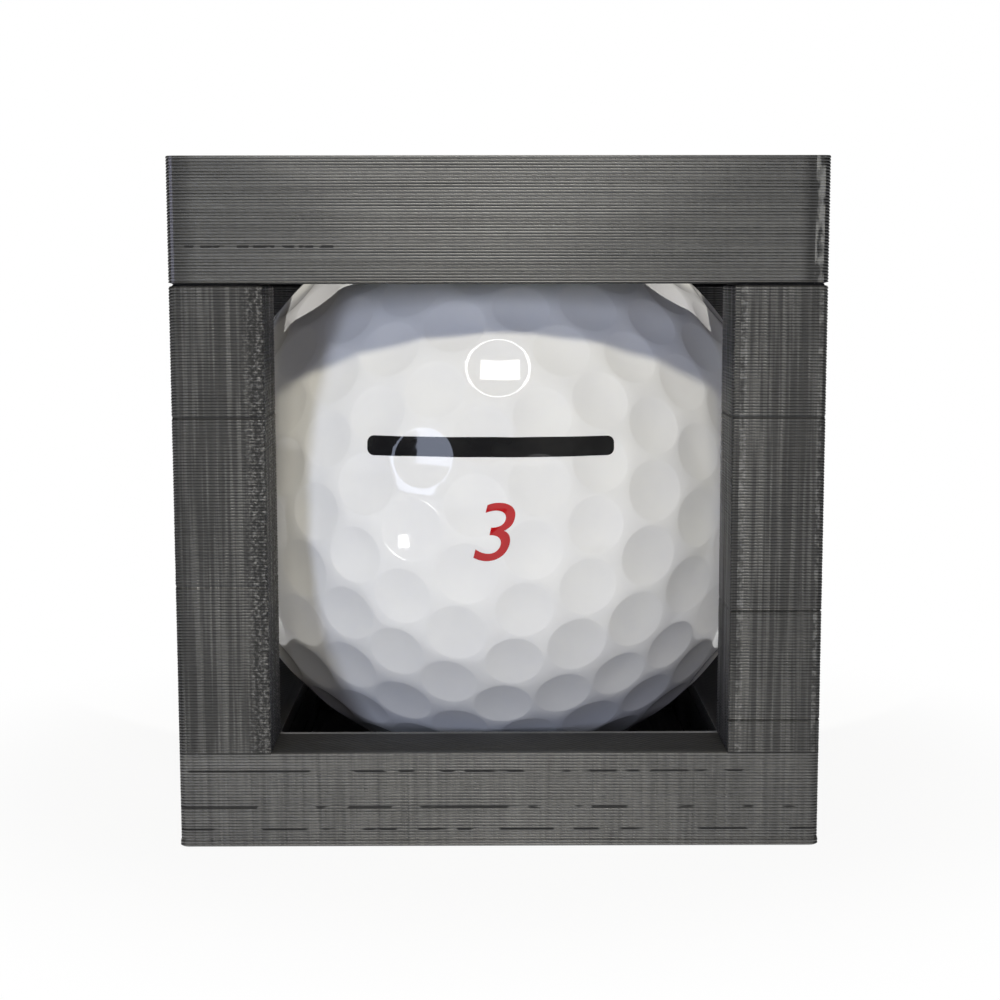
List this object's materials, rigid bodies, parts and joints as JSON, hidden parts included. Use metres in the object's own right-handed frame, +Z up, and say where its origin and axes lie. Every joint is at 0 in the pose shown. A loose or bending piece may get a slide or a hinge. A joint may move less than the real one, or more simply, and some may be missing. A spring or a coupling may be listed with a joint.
{
  "type": "golf ball display case",
  "caption": "Open cube-shaped case that displays a golf ball: tray base with corner posts, square ring lid that lifts off, dimpled ball standing loose inside.",
  "frame": {"origin": "middle of the underside of the base, on the surface the case stands on", "axes": "+Z up, -Y towards the viewer of the picture, +X to the viewer's right"},
  "size_m": [0.043, 0.043, 0.0458],
  "materials": {
    "case_plastic": "satin charcoal filament print with fine level layer lines",
    "lid_plastic": "satin charcoal filament print with fine level layer lines",
    "ball_white": "glossy white painted cover",
    "ball_rubber": "matt moulded rubber, hidden inside the cover"
  },
  "bodies": {
    "case": {"case_body": "case_plastic"},
    "lid": {"lid": "lid_plastic"},
    "ball": {"ball_cover": "ball_white", "ball_core": "ball_rubber"}
  },
  "joints": [
    {"name": "lid_lift", "type": "slide", "parent": "case", "child": "lid", "axis": [0, 0, 1], "range_m": [0, 0.06]},
    {"name": "ball_turn", "type": "hinge", "parent": "case", "child": "ball", "pos_m": [0, 0, 0.02218], "axis": [0, 0, 1], "continuous": true}
  ]
}
